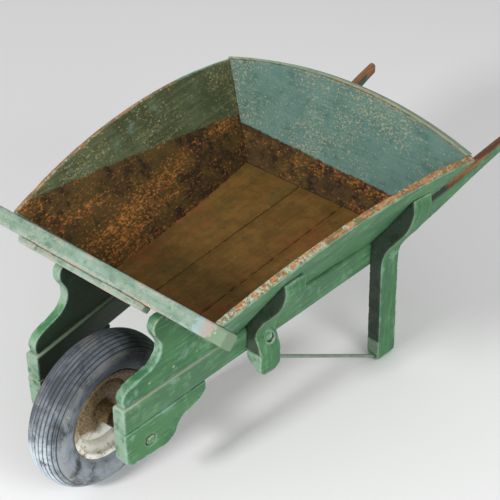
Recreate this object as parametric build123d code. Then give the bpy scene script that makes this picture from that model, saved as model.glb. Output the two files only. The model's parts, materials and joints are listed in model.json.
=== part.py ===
from build123d import *
from math import atan, cos, degrees, hypot, pi, sin, tan
import os

# Wooden garden barrow on a pneumatic wheel, in millimetres.
# While it is built, Y = 0 is the axle, +Y runs back to the handles and Z = 0 is the ground.
# The finished pieces are then moved so that the origin is under the middle of their box.
# Left is the pusher's left hand, on the +X side.

# wheel
tyre_diameter = 392.0
tyre_width = 106.0
tyre_wall = 9.0
bead_diameter = 206.0
flange_diameter = 226.0
rim_width = 72.0
rim_wall = 3.0
rim_well_depth = 20.0
rim_well_width = 34.0
bead_fit = 0.2
disc_thickness = 3.0
disc_dish = 12.0
disc_offset = 6.0
hub_diameter = 48.0
hub_bore = 38.0
hub_length = 96.0
bush_flange_diameter = 46.0
bush_flange_thickness = 3.0
bush_length = 22.0
axle_diameter = 25.0
bush_fit = 0.06
spacer_diameter = 34.0
spacer_play = 0.5
washer_diameter = 46.0
washer_thickness = 3.0
axle_wear = 5.0
axle_seat_gap = 0.2
valve_diameter = 8.0
valve_inset = 24.0
valve_offset = -11.0
valve_hole = 8.5
tube_diameter = 64.0
tube_clearance = 0.3

# shafts, which run from the axle back to the handles
shaft_half_spread = 163.0
shaft_splay = 0.075
shaft_width = 40.0
shaft_depth = 70.0
shaft_top_height = 324.0
shaft_rise = 0.063
shaft_nose = 73.0
handle_reach = 1384.0
handle_bend_start = 822.0
handle_neck = 1032.0
handle_neck_depth = 46.0
handle_neck_lift = 2.0
handle_flare = 14.0
handle_end_height = 445.0
handle_end_depth = 34.0
handle_end_width = 28.0
handle_slope = 0.138
grip_length = 190.0
grip_rounding = 9.0

# cheeks at the wheel
upper_cheek_thickness = 25.0
upper_cheek_inset = 7.0
lower_cheek_thickness = 40.0
lower_cheek_drop = 152.0
lower_cheek_reach = 172.0
nail_hole = 6.0
nail_hole_y = -51.0
nail_hole_height = 236.0
cheek_nail_positions = (8.0, 80.0, 150.0)
cheek_nail_lift = 28.0
cheek_top_y = 49.0
cheek_top_height = 510.0
trim_allowance = 8.0
cheek_foot_setback = 8.0
cheek_foot_lift = 6.0
# each is how far forward of the top, and how far below it
cheek_ogee = ((20, 14), (21, 34), (4, 70), (8, 103), (38, 126), (86, 138), (112, 154))
# each is how far forward of the rear end, and how far above the lowest edge
cheek_steps = ((1, 90), (16, 74), (49, 61), (76, 51), (89, 35), (96, 18), (110, 5), (141, 0))
lower_cheek_toe = (18.0, 0.0)
lower_cheek_nose = (2.0, 12.0)

# tray
tray_front_half_width = 305.0
tray_front_y = 57.0
tray_front_height = 568.0
tray_back_half_width = 378.0
tray_back_y = 877.0
tray_back_height = 624.0
side_lean = 0.657
side_arch = 48.0
side_bow = 16.0
side_end_drop = 13.0
side_thickness = 20.0
back_lean = 0.492
back_arch = 54.0
back_thickness = 20.0
cap_thickness = 6.0
cap_width = 26.0
head_angle = 47.3
head_thickness = 20.0
head_cleat_thickness = 18.0
head_cleat_width = 42.0
rail_depth = 46.0
rail_left_end = 345.0
rail_right_end = 367.0
rail_chamfer = 2.0
rail_nail_positions = (-320.0, -190.0, -60.0, 60.0, 190.0, 320.0)
under_cleat_thickness = 15.0
under_cleat_depth = 32.0
under_cleat_left_end = 131.0
under_cleat_right_end = 264.0
under_cleat_notch_from = -206.0
under_cleat_notch_to = 4.0
under_cleat_notch_depth = 11.0
floor_thickness = 18.0
bearer_thickness = 22.0
bearer_width = 60.0
bearer_positions = (300.0, 515.0, 706.0)
deck_clearance = 0.3
floor_joints = (-42.0, 98.0)
floor_nail_positions = (-150.0, -75.0, -10.0, 65.0, 130.0)
plank_gap = 1.0
head_joint = 165.0

# brackets, legs and stays
bracket_front = 299.0
bracket_width = 68.0
bracket_thickness = 48.0
bracket_flat = 29.0
bracket_point = (24.0, 41.0)
bracket_chamfer = 20.0
# how far a wing stands out of the shaft, and its height over the shaft's top edge
bracket_wing = ((45, 30), (72, 66), (100, 103), (116, 136), (120, 163), (116, 184))
bracket_belly = ((43, -42), (48, -62))
bracket_waist = -12.0
bracket_bottom = 218.0
leg_front = 736.0
leg_width = 68.0
leg_thickness = 39.0
leg_wing = ((54, 3), (84, 47), (112, 94), (122, 129), (124, 154), (120, 178))
leg_waist = -52.0
leg_rake = 18.0
foot_chamfer = 12.0
stay_diameter = 9.0
stay_front_height = 246.0
stay_rear_height = 7.0
stay_offset = 22.0
stay_seat = 16.0
stay_foot_seat = 8.0
stay_clearance = 0.2

# fasteners
bolt_diameter = 10.0
bolt_head_diameter = 24.0
bolt_head_height = 6.0
bolt_nut_size = 17.0
bolt_nut_height = 8.0
bolt_clearance = 0.2
bolt_end = 3.0
bracket_bolt_place = (42.0, 29.0)
leg_bolt_place = (40.0, 31.0)
leg_bolt_seat = 37.0
board_nail_head = 8.0
board_nail_proud = 0.8
floor_nail_sink = 0.9
nail_seat_clearance = 0.2
nail_lift = 0.1
side_nail_positions = (185.0, 400.0, 560.0)
side_nail_height = 26.0
back_nail_drops = (28.0, 62.0, 96.0)

wheel_radius = tyre_diameter / 2
head_turn = head_angle * pi / 180
splay_angle = degrees(atan(shaft_splay))
far = 3000.0


def shaft_top(v):
    return shaft_top_height + shaft_rise * v


def side_frame(shape):
    """Places a piece drawn against the left shaft: X out of its face, Y along it."""
    return Pos(shaft_half_spread, 0, 0) * Rot(0, 0, -splay_angle) * shape


def other_side(shape):
    return mirror(shape, about=Plane.YZ)


def drawn_across(face, start, thickness):
    """A front view, drawn as (X, Z), made solid from Y = start backwards."""
    return Pos(0, start, 0) * extrude(Plane.XZ * face, -thickness)


def drawn_along(face, start, thickness):
    """A side view, drawn as (Y, Z), made solid from X = start outwards."""
    return Pos(start, 0, 0) * extrude(Plane.YZ * face, thickness)


def rod(start, end, diameter):
    a = Vector(*start)
    b = Vector(*end)
    return Plane(a, z_dir=b - a) * Cylinder(
        diameter / 2, (b - a).length, align=(Align.CENTER, Align.CENTER, Align.MIN)
    )


# Planes that bound the tray. Each faces away from the load.
side_across = (tray_back_half_width - tray_front_half_width) - side_lean * (
    tray_back_height - tray_front_height
)
side_spread = side_across / (tray_back_y - tray_front_y)
side_normal = Vector(1, -side_spread, -side_lean).normalized()
side_corner = Vector(tray_front_half_width, tray_front_y, tray_front_height)
side_far_corner = Vector(tray_back_half_width, tray_back_y, tray_back_height)
head_normal = Vector(0, -sin(head_turn), -cos(head_turn))
head_down = Vector(0, cos(head_turn), -sin(head_turn))
head_corner = Vector(0, tray_front_y, tray_front_height)
back_normal = Vector(0, 1, -back_lean).normalized()
back_corner = Vector(0, tray_back_y, tray_back_height)
deck_normal = Vector(0, -shaft_rise, 1).normalized()
deck_corner = Vector(0, 0, shaft_top_height + deck_clearance)


def side_plane(offset=0.0, sign=1):
    n = Vector(sign * side_normal.X, side_normal.Y, side_normal.Z)
    p = Vector(sign * side_corner.X, side_corner.Y, side_corner.Z)
    return Plane(p + n * offset, z_dir=n)


def head_plane(offset=0.0):
    return Plane(head_corner + head_normal * offset, z_dir=head_normal)


def back_plane(offset=0.0):
    return Plane(back_corner + back_normal * offset, z_dir=back_normal)


def deck_plane(offset=0.0):
    return Plane(deck_corner + deck_normal * offset, z_dir=deck_normal)


def within(shape, *planes):
    """Keeps what lies on the load's side of each plane."""
    for plane in planes:
        shape = split(shape, bisect_by=plane, keep=Keep.BOTTOM)
    return shape


def beyond(shape, *planes):
    """Keeps what lies outside each plane."""
    for plane in planes:
        shape = split(shape, bisect_by=plane, keep=Keep.TOP)
    return shape


side_chord = side_far_corner - side_corner
side_along = side_chord.normalized()
side_up = side_normal.cross(side_along)
side_frame_plane = Plane(side_corner, x_dir=side_along, z_dir=side_normal)


def side_bow_at(s):
    """How far the side board's face is bowed in, at a distance along its chord."""
    share = s / side_chord.length
    return 4 * side_bow * share * (1 - share)


def side_slab(inner, outer):
    """The left side board's bowed sheet, or the space in or out from it, without its outline."""
    length = side_chord.length
    edges = []
    for level in (inner, outer):
        ends = [(s, level - side_bow_at(s)) for s in (-length / 4, length / 2, length * 1.25)]
        edges.append(ThreePointArc(*ends))
    edges.append(Line(edges[0] @ 0, edges[1] @ 0))
    edges.append(Line(edges[0] @ 1, edges[1] @ 1))
    sketch = Plane(side_corner - side_up * length, x_dir=side_along, z_dir=-side_up)
    return extrude(sketch * make_face(edges), -length * 2)


def between_sides(shape):
    """Cuts a piece of the tray to lie between the two side boards."""
    outside = side_slab(0, far / 4)
    return shape - outside - other_side(outside)


def side_nail(s, up):
    """A nail's head on the outer face of the left side board."""
    share = s / side_chord.length
    tilt = 4 * side_bow * (1 - 2 * share) / side_chord.length
    level = side_thickness + nail_lift - side_bow_at(s)
    point = side_corner + side_along * s + side_up * up + side_normal * level
    return nail_head(point, side_normal + side_along * tilt)


# ---- wheel, drawn about X through the origin, then lifted to the axle ----

def turned(profile):
    """A wheel section, drawn as (X, radius), turned about the axle."""
    return Pos(0, 0, wheel_radius) * revolve(profile, axis=Axis.X)


def tyre():
    half = tyre_width / 2
    bead = bead_diameter / 2
    seat = rim_width / 2 - rim_wall / 2 - bead_fit
    over_lip = flange_diameter / 2 + rim_wall
    belly = (wheel_radius + bead) / 2
    inside = seat - tyre_wall
    outer = Spline(
        (seat, over_lip),
        (half, belly),
        (half * 0.76, wheel_radius - tyre_wall * 1.8),
        (0, wheel_radius),
        tangents=[(1, 0.9), (-1, 0)],
    )
    inner = Spline(
        (inside, over_lip),
        (half - tyre_wall, belly),
        (half * 0.64, wheel_radius - tyre_wall * 2.6),
        (0, wheel_radius - tyre_wall),
        tangents=[(1, 0.9), (-1, 0)],
    )
    left = [
        outer,
        inner,
        Line((seat, over_lip), (seat, bead)),
        Line((seat, bead), (inside, bead)),
        Line((inside, bead), (inside, over_lip)),
    ]
    right = [mirror(edge, about=Plane.YZ) for edge in left]
    return turned(make_face(left + right))


def tube_section():
    """Height of the tube's middle above the axle, and its own radius."""
    radius = tube_diameter / 2
    return wheel_radius - tyre_wall - tube_clearance - radius, radius


def inner_tube():
    middle, radius = tube_section()
    return turned(Pos(0, middle) * Circle(radius))


def seat_radius():
    """Middle of the rim's sheet where the tyre's bead sits."""
    return bead_diameter / 2 - bead_fit - rim_wall / 2


def rim():
    half = rim_width / 2
    seat = seat_radius()
    well = seat - rim_well_depth
    lip = flange_diameter / 2
    flank = rim_well_width / 2 + rim_wall * 2
    line = Polyline(
        (-half, lip),
        (-half, seat),
        (-flank, seat),
        (-rim_well_width / 2, well),
        (rim_well_width / 2, well),
        (flank, seat),
        (half, seat),
        (half, lip),
    )
    band = turned(make_face(offset(line, amount=rim_wall / 2, side=Side.BOTH)))
    hole = rod((valve_offset, 0, wheel_radius), (valve_offset, 0, wheel_radius * 2), valve_hole)
    return band - hole


def wheel_disc():
    edge = seat_radius() - rim_well_depth - rim_wall / 2
    hub_radius = hub_diameter / 2
    half = disc_thickness / 2
    middle = (edge + hub_radius) / 2
    section = Polyline(
        (disc_offset - half, hub_radius),
        (disc_offset + disc_dish - half, middle),
        (disc_offset - half, edge),
        (disc_offset + half, edge),
        (disc_offset + disc_dish + half, middle),
        (disc_offset + half, hub_radius),
        close=True,
    )
    return turned(make_face(section))


def hub():
    barrel = Cylinder(hub_diameter / 2, hub_length) - Cylinder(hub_bore / 2, hub_length)
    return Pos(0, 0, wheel_radius) * Rot(0, 90, 0) * barrel


def bushes():
    """Two flanged bushes pressed into the hub, running on the axle."""
    bore = axle_diameter / 2 + bush_fit
    pair = []
    for sign in (1, -1):
        outer = hub_length / 2
        body = Pos(0, 0, outer - bush_length / 2) * Cylinder(hub_bore / 2, bush_length)
        flange_z = outer + bush_flange_thickness / 2
        flange = Pos(0, 0, flange_z) * Cylinder(bush_flange_diameter / 2, bush_flange_thickness)
        through = Pos(0, 0, outer) * Cylinder(bore, hub_length)
        pair.append(Pos(0, 0, wheel_radius) * Rot(0, 90 * sign, 0) * (body + flange - through))
    return pair


def valve_stem():
    """Comes down from the tube, through the rim, beside the disc."""
    middle, radius = tube_section()
    beside = abs(valve_offset) - valve_diameter / 2
    top = middle - (radius**2 - beside**2) ** 0.5 - tube_clearance
    low = seat_radius() - rim_well_depth - valve_inset
    start = (valve_offset, 0, wheel_radius + low)
    end = (valve_offset, 0, wheel_radius + top)
    return rod(start, end, valve_diameter)


# ---- axle and what keeps the wheel in the middle ----

def cheek_inner_x():
    return shaft_half_spread - lower_cheek_thickness / cos(atan(shaft_splay))


def axle():
    half = shaft_half_spread
    return rod((-half, 0, wheel_radius), (half, 0, wheel_radius), axle_diameter)


def hub_face():
    return hub_length / 2 + bush_flange_thickness


def washers():
    """One on each side of the wheel, against the spacer."""
    ring = Cylinder(washer_diameter / 2, washer_thickness)
    ring -= Cylinder(axle_diameter / 2 + bolt_clearance, washer_thickness)
    x = hub_face() + spacer_play + washer_thickness / 2
    return [Pos(sign * x, 0, wheel_radius) * Rot(0, 90, 0) * ring for sign in (1, -1)]


def spacer():
    start = hub_face() + spacer_play + washer_thickness
    length = cheek_inner_x() - washer_diameter * shaft_splay / 2 - start
    tube = Cylinder(spacer_diameter / 2, length)
    tube -= Cylinder(axle_diameter / 2 + bolt_clearance, length)
    return Pos(start + length / 2, 0, wheel_radius) * Rot(0, 90, 0) * tube


# ---- shafts and cheeks, drawn against the left shaft ----

def shaft_side_view():
    nose_top = (-shaft_nose, shaft_top(-shaft_nose))
    nose_low = (-shaft_nose, shaft_top(-shaft_nose) - shaft_depth)
    bend_top = (handle_bend_start, shaft_top(handle_bend_start))
    bend_low = (handle_bend_start, shaft_top(handle_bend_start) - shaft_depth)
    neck_top = (handle_neck, shaft_top(handle_neck) + handle_neck_lift)
    neck_low = (handle_neck, neck_top[1] - handle_neck_depth)
    end_top = (handle_reach, handle_end_height + handle_end_depth / 2)
    end_low = (handle_reach, handle_end_height - handle_end_depth / 2)
    along = (1, shaft_rise)
    raised = (1, handle_slope)
    edges = [
        Line(bend_low, nose_low),
        Line(nose_low, nose_top),
        Line(nose_top, bend_top),
        Spline(bend_top, neck_top, end_top, tangents=[along, raised]),
        Line(end_top, end_low),
        Spline(bend_low, neck_low, end_low, tangents=[along, raised]),
    ]
    return make_face(edges)


def shaft():
    blank = drawn_along(shaft_side_view(), -shaft_width, shaft_width)
    pull_in = (shaft_width - handle_end_width) / 2
    grip_start = handle_reach - grip_length
    flare = handle_flare * (grip_start - handle_neck) / (handle_reach - handle_neck)
    plan = Polyline(
        (-shaft_width, -shaft_nose),
        (0, -shaft_nose),
        (0, handle_neck),
        (flare - pull_in / 2, grip_start),
        (handle_flare - pull_in, handle_reach),
        (handle_flare - shaft_width + pull_in, handle_reach),
        (flare - shaft_width + pull_in / 2, grip_start),
        (-shaft_width, handle_neck),
        close=True,
    )
    shape = blank & extrude(make_face(plan), far)
    grip = [e for e in shape.edges() if e.center().Y > handle_neck and e.length > grip_length / 2]
    return fillet(grip, grip_rounding)


def upper_cheek():
    """The ogee board that fills in between shaft and headboard."""
    under = head_thickness + head_cleat_thickness
    edge = head_corner + head_normal * (under - trim_allowance)
    slope = -tan(head_turn)
    rear_top = edge.Y + (cheek_top_height - edge.Z) / slope
    rear_y = (shaft_top_height - edge.Z + slope * edge.Y) / (slope - shaft_rise)
    nose_y = cheek_foot_setback - shaft_nose
    curve = [(cheek_top_y - forward, cheek_top_height - down) for forward, down in cheek_ogee]
    top = (cheek_top_y, cheek_top_height)
    foot = (nose_y, shaft_top(nose_y) + cheek_foot_lift)
    ogee = Spline(top, *curve, foot)
    edges = [
        ogee,
        Line(foot, (nose_y, shaft_top(nose_y))),
        Line((nose_y, shaft_top(nose_y)), (rear_y, shaft_top(rear_y))),
        Line((rear_y, shaft_top(rear_y)), (rear_top, cheek_top_height)),
        Line((rear_top, cheek_top_height), top),
    ]
    inner = -upper_cheek_inset - upper_cheek_thickness
    board = side_frame(drawn_along(make_face(edges), inner, upper_cheek_thickness))
    return beyond(board, head_plane(under))


def lower_cheek():
    """The stepped board under the shaft that carries the axle."""
    reach = lower_cheek_reach
    low = lower_cheek_drop
    seam_rear = shaft_top(reach) - shaft_depth
    seam_nose = shaft_top(-shaft_nose) - shaft_depth
    steps = Spline(*[(reach - forward, low + up) for forward, up in cheek_steps])
    toe = (lower_cheek_toe[0] - shaft_nose, low + lower_cheek_toe[1])
    nose = (lower_cheek_nose[0] - shaft_nose, low + lower_cheek_nose[1])
    edges = [
        Line((reach, seam_rear), steps @ 0),
        steps,
        Line(steps @ 1, toe),
        Line(toe, nose),
        Line(nose, (-shaft_nose, seam_nose)),
        Line((-shaft_nose, seam_nose), (reach, seam_rear)),
    ]
    board = drawn_along(make_face(edges), -lower_cheek_thickness, lower_cheek_thickness)
    nail = (nail_hole_y, nail_hole_height)
    board -= rod((-far, *nail), (far, *nail), nail_hole)
    return side_frame(board) - axle_hole()


def axle_hole():
    """Worn larger than the axle, which bears on its upper front."""
    slack = axle_wear / 2 - axle_seat_gap
    place = (slack / 2, wheel_radius - slack * cos(pi / 6))
    return rod((-far, *place), (far, *place), axle_diameter + axle_wear)


# ---- tray ----

def side_board():
    """Leaning side with an arched top edge, on the outer half of the shaft's top."""
    length = side_chord.length
    rear = length + back_thickness * 3
    edges = [
        ThreePointArc((0, 0), (length / 2, side_arch), (length, 0)),
        Line((length, 0), (rear, -side_end_drop)),
        Line((rear, -side_end_drop), (rear, -length)),
        Line((rear, -length), (-rear, -length)),
        Line((-rear, -length), (-rear, -rear / 2)),
        Line((-rear, -rear / 2), (0, 0)),
    ]
    outline = extrude(side_frame_plane * make_face(edges), far / 4, both=True)
    board = side_slab(0, side_thickness) & outline
    board = within(board, head_plane(), back_plane(back_thickness))
    return beyond(board, deck_plane())


def back_arc(lift):
    """The back board's arched outline in its own plane, from its top corners."""
    half = tray_back_half_width
    return ThreePointArc((-half, lift), (0, back_arch + lift), (half, lift))


def back_sketch_plane(offset_out=0.0):
    origin = back_corner + back_normal * offset_out
    return Plane(origin, x_dir=(-1, 0, 0), z_dir=back_normal)


def back_board():
    half = tray_back_half_width
    deep = tray_back_height
    edges = [
        back_arc(0),
        Line((half, 0), (half, -deep)),
        Line((half, -deep), (-half, -deep)),
        Line((-half, -deep), (-half, 0)),
    ]
    blank = extrude(back_sketch_plane() * make_face(edges), back_thickness)
    return beyond(between_sides(blank), deck_plane())


def back_cap():
    """Thin strip bent over the back board's top edge."""
    low = back_arc(0)
    high = back_arc(cap_thickness)
    edges = [low, high, Line(low @ 0, high @ 0), Line(low @ 1, high @ 1)]
    start = (back_thickness - cap_width) / 2
    strip = extrude(back_sketch_plane(start) * make_face(edges), cap_width)
    return between_sides(strip)


def head_block(x_from, x_to, down_from, down_to, out_from, out_to):
    """A board lying in the headboard's slope."""
    centre = head_corner + head_down * ((down_from + down_to) / 2)
    centre += head_normal * ((out_from + out_to) / 2)
    frame = Plane(centre + Vector((x_from + x_to) / 2, 0, 0), x_dir=(1, 0, 0), z_dir=head_normal)
    return frame * Box(x_to - x_from, down_to - down_from, out_to - out_from)


def head_planks():
    """Two boards across, between the rail and the shafts."""
    limits = (rail_depth, head_joint, far / 8)
    planks = []
    for top, low in zip(limits, limits[1:]):
        blank = head_block(-far / 2, far / 2, top, low - plank_gap, 0, head_thickness)
        blank = within(blank, side_plane(side_thickness), side_plane(side_thickness, -1))
        planks.append(beyond(blank, deck_plane()))
    return planks


def front_rail():
    thick = head_thickness + head_cleat_thickness
    bar = head_block(-rail_right_end, rail_left_end, 0, rail_depth, 0, thick)
    return chamfer(bar.edges().filter_by(Axis.X), rail_chamfer)


def under_cleat():
    """Batten on the underside of the rail, rounded off at its right-hand end."""
    out_from = head_thickness + head_cleat_thickness
    bar = head_block(
        -under_cleat_right_end, under_cleat_left_end, 0, under_cleat_depth,
        out_from, out_from + under_cleat_thickness,
    )
    corner = bar.edges().filter_by(Axis.Y, reverse=True).filter_by(
        lambda e: abs(e.center().X + under_cleat_right_end) < 1 and e.length > under_cleat_thickness
    ).sort_by(Axis.Z)[:1]
    bar = fillet(corner, under_cleat_thickness - 1)
    notch = head_block(
        under_cleat_notch_from, under_cleat_notch_to, -1, under_cleat_notch_depth,
        out_from - 1, out_from + under_cleat_thickness + 1,
    )
    return bar - notch


def head_cleat():
    """Batten between cheek and headboard, which both are nailed to."""
    middle = shaft_half_spread - upper_cheek_inset - upper_cheek_thickness / 2
    out_to = head_thickness + head_cleat_thickness
    blank = head_block(
        middle - head_cleat_width / 2, middle + head_cleat_width / 2,
        rail_depth, far / 8, head_thickness, out_to,
    )
    return beyond(blank, deck_plane())


def deck_block(x_from, x_to, y_from, y_to, low, high):
    origin = deck_corner + Vector(0, 1, shaft_rise) * ((y_from + y_to) / 2)
    frame = Plane(origin, x_dir=(1, 0, 0), z_dir=deck_normal)
    place = Pos((x_from + x_to) / 2, 0, (low + high) / 2)
    return frame * place * Box(x_to - x_from, y_to - y_from, high - low)


def bearers():
    bars = []
    for y in bearer_positions:
        bar = deck_block(-far / 4, far / 4, y - bearer_width / 2, y + bearer_width / 2, 0, bearer_thickness)
        bars.append(within(between_sides(bar), head_plane(), back_plane()))
    return bars


def floor_planks():
    limits = (-far / 4,) + floor_joints + (far / 4,)
    planks = []
    for right, left in zip(limits, limits[1:]):
        blank = deck_block(
            right + plank_gap / 2, left - plank_gap / 2, -far / 4, far / 2,
            bearer_thickness, bearer_thickness + floor_thickness,
        )
        plank = within(between_sides(blank), head_plane(), back_plane())
        for seat, up in floor_nail_places():
            plank -= rod(seat, seat + up * floor_thickness, board_nail_head + nail_seat_clearance * 2)
        planks.append(plank)
    return planks


def floor_nail_places():
    """Where each floor nail's head sits, just under the planks' face, and which way is up."""
    up = Vector(0, -shaft_rise, 1).normalized()
    places = []
    for y in bearer_positions:
        deck = shaft_top(y) + deck_clearance + (bearer_thickness + floor_thickness) * hypot(1, shaft_rise)
        places.extend((Vector(x, y, deck) - up * floor_nail_sink, up) for x in floor_nail_positions)
    return places


# ---- brackets, legs and stays, drawn against the left shaft ----

def against_board(shape):
    """Cuts a standard's wing to lie against the leaning side board."""
    return side_frame(shape) - side_slab(-far / 8, side_thickness)


def stay_line():
    start = (stay_offset, bracket_front + bracket_width - stay_seat, stay_front_height)
    end = (stay_offset, leg_front + leg_rake + stay_foot_seat, stay_rear_height)
    return start, end


def stay():
    start, end = stay_line()
    return side_frame(rod(start, end, stay_diameter))


def stay_hole():
    start, end = stay_line()
    return rod(start, end, stay_diameter + stay_clearance * 2)


def bolt_hole(v, z):
    return rod((-shaft_width, v, z), (far, v, z), bolt_diameter + bolt_clearance * 2)


def bolt_seat(v, z, u):
    """Flat let into a standard's outer face for a bolt's head."""
    return rod((u, v, z), (far, v, z), bolt_head_diameter + bolt_clearance * 2)


def bracket_bolt():
    """Along the shaft, height, and how far its seat stands out of the shaft."""
    along, drop = bracket_bolt_place
    v = bracket_front + along
    return v, shaft_top(v) - drop, bracket_flat - bolt_clearance


def leg_bolt():
    along, drop = leg_bolt_place
    v = leg_front + along
    return v, shaft_top(v) - drop, leg_bolt_seat


def standard(front, side, bolt):
    """A standard from its front and side views, drilled for its bolt and stay and laid against the board."""
    shape = drawn_across(make_face(front), 0, far / 2) & drawn_along(make_face(side), -1, far / 4)
    v, z, u = bolt
    shape -= stay_hole() + bolt_hole(v, z) + bolt_seat(v, z, u)
    return against_board(shape)


def bracket():
    """Front standard: a wing up the side board and a pointed end under the shaft."""
    t = bracket_thickness
    waist = shaft_top(bracket_front)
    low = bracket_bottom
    middle = (bracket_flat, waist + bracket_waist)
    wing = Spline(middle, *[(out, waist + up) for out, up in bracket_wing])
    belly = Spline(middle, *[(out, waist + up) for out, up in bracket_belly])
    drop, point_out = bracket_point
    top = waist + bracket_wing[-1][1]
    edges = [
        Line((0, low + drop * 2), (t / 2, low + drop)),
        Line((t / 2, low + drop), (point_out, low)),
        Line((point_out, low), (t, low + bolt_head_height)),
        Line((t, low + bolt_head_height), belly @ 1),
        belly,
        wing,
        Line(wing @ 1, (0, top)),
        Line((0, top), (0, low + drop * 2)),
    ]
    start = bracket_front
    rear = bracket_front + bracket_width
    c = bracket_chamfer
    side = Polyline(
        (start, low + c), (start + c, low), (rear - c, low), (rear, low + c),
        (rear, far / 4), (start, far / 4), close=True,
    )
    return standard(edges, side, bracket_bolt())


def leg():
    """Rear leg, from the ground to the wing that backs the side board."""
    t = leg_thickness
    waist = shaft_top(leg_front)
    low_wing = (t, waist + leg_waist)
    wing = Spline(low_wing, *[(out, waist + up) for out, up in leg_wing], tangents=[(0, 1), (-0.1, 1)])
    top = waist + leg_wing[-1][1]
    c = foot_chamfer
    edges = [
        Line((0, c), (c / 2, 0)),
        Line((c / 2, 0), (t - c / 2, 0)),
        Line((t - c / 2, 0), (t, c)),
        Line((t, c), low_wing),
        wing,
        Line(wing @ 1, (0, top)),
        Line((0, top), (0, c)),
    ]
    start = leg_front
    rear = leg_front + leg_width
    under = shaft_top(leg_front) - shaft_depth
    foot = start + leg_rake
    heel = rear + leg_rake
    side = Polyline(
        (foot, c / 2), (foot + c / 2, 0), (heel - c, 0), (heel, c), (rear, under),
        (rear, far / 4), (start, far / 4), (start, under), close=True,
    )
    return standard(edges, side, leg_bolt())


# ---- fasteners ----

def coach_bolt(v, z, u):
    """Coach bolt from a wooden face, through the shaft, with a square nut inside."""
    out = (1, 0, 0)
    shank = rod((-shaft_width - bolt_nut_height - bolt_end, v, z), (u, v, z), bolt_diameter)
    head = Plane((u, v, z), z_dir=out) * Cylinder(
        bolt_head_diameter / 2, bolt_head_height, align=(Align.CENTER, Align.CENTER, Align.MIN)
    )
    rim_edge = head.edges().filter_by(GeomType.CIRCLE).sort_by(Axis.X)[-1]
    head = fillet(rim_edge, bolt_head_height - 1)
    nut = Pos(-shaft_width - bolt_nut_height / 2, v, z) * Box(bolt_nut_height, bolt_nut_size, bolt_nut_size)
    return side_frame(shank + head + nut)


def nail_head(point, outward):
    """A nail's head just proud of a board, in a face given by its outward direction."""
    n = Vector(*outward).normalized()
    base = Vector(*point)
    return Plane(base, z_dir=n) * Cylinder(
        board_nail_head / 2, board_nail_proud, align=(Align.CENTER, Align.CENTER, Align.MIN)
    )


def rail_nails():
    heads = []
    out = head_thickness + head_cleat_thickness
    for x in rail_nail_positions:
        point = head_corner + head_normal * (out / 2) + Vector(x, 0, 0)
        heads.append(nail_head(point, -head_down))
    return heads


def cheek_nails():
    heads = []
    face = -upper_cheek_inset
    for v in cheek_nail_positions:
        heads.append(side_frame(nail_head((face, v, shaft_top(v) + cheek_nail_lift), (1, 0, 0))))
    return heads


def side_nails():
    """Along the foot of each side board, and into the ends of the back board."""
    depth = (tray_front_height - shaft_top_height) / side_up.Z
    heads = [side_nail(s, side_nail_height - depth) for s in side_nail_positions]
    fall = Vector(0, -back_lean, -1).normalized()
    for drop in back_nail_drops:
        place = back_corner + back_normal * (back_thickness / 2) + fall * drop - side_corner
        across = (place.Y * side_normal.Y + place.Z * side_normal.Z) / -side_normal.X
        on_face = Vector(across, place.Y, place.Z)
        heads.append(side_nail(on_face.dot(side_along), on_face.dot(side_up)))
    return heads


def floor_nails():
    return [nail_head(seat, up) for seat, up in floor_nail_places()]


bolts = (bracket_bolt(), leg_bolt())
left_shaft = shaft()
for along, height, seat in bolts:
    left_shaft -= bolt_hole(along, height)

pieces = {
    "tyre": tyre(),
    "inner_tube": inner_tube(),
    "wheel_rim": rim(),
    "wheel_disc": wheel_disc(),
    "wheel_hub": hub(),
    "hub_bushes": bushes(),
    "valve_stem": valve_stem(),
    "axle": axle(),
    "axle_washers": washers(),
    "front_rail": front_rail(),
    "under_cleat": under_cleat(),
    "back_board": back_board(),
    "back_cap_strip": back_cap(),
}
for name, solid in zip(("headboard_upper", "headboard_lower"), head_planks()):
    pieces[name] = solid
for name, solid in zip(("floor_bearer_front", "floor_bearer_middle", "floor_bearer_rear"), bearers()):
    pieces[name] = solid
for name, solid in zip(("floor_plank_right", "floor_plank_middle", "floor_plank_left"), floor_planks()):
    pieces[name] = solid

handed = {
    "shaft": side_frame(left_shaft),
    "upper_cheek": upper_cheek(),
    "lower_cheek": lower_cheek(),
    "side_board": side_board(),
    "headboard_cleat": head_cleat(),
    "axle_spacer": spacer(),
    "front_bracket": bracket(),
    "rear_leg": leg(),
    "iron_stay": stay(),
}
for name, solid in handed.items():
    pieces[name + "_left"] = solid
    pieces[name + "_right"] = other_side(solid)

paired = {
    "bracket_bolts": [coach_bolt(*bolts[0])],
    "leg_bolts": [coach_bolt(*bolts[1])],
    "cheek_nails": cheek_nails(),
    "side_board_nails": side_nails(),
}
for name, solids in paired.items():
    pieces[name] = solids + [other_side(s) for s in solids]
pieces["rail_nails"] = rail_nails()
pieces["floor_nails"] = floor_nails()


def solids_of(item):
    found = []
    for shape in item if isinstance(item, list) else [item]:
        found.extend(shape.solids())
    return found


everything = Compound([s for item in pieces.values() for s in solids_of(item)])
box = everything.bounding_box()
to_origin = Pos(0, -(box.min.Y + box.max.Y) / 2, -box.min.Z)

os.makedirs("parts", exist_ok=True)
for name, item in pieces.items():
    solids = [to_origin * s for s in solids_of(item)]
    export_step(solids[0] if len(solids) == 1 else Compound(solids), f"parts/{name}.step")
print("nodes", len(pieces), "axle y", round(to_origin.position.Y, 4), "lift", round(to_origin.position.Z, 4))
print("box", box.size)
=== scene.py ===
import json
import math
import zlib

import bmesh
import bpy
import numpy as np
from mathutils import Matrix, Vector
from mathutils.bvhtree import BVHTree
from mathutils.kdtree import KDTree


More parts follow.
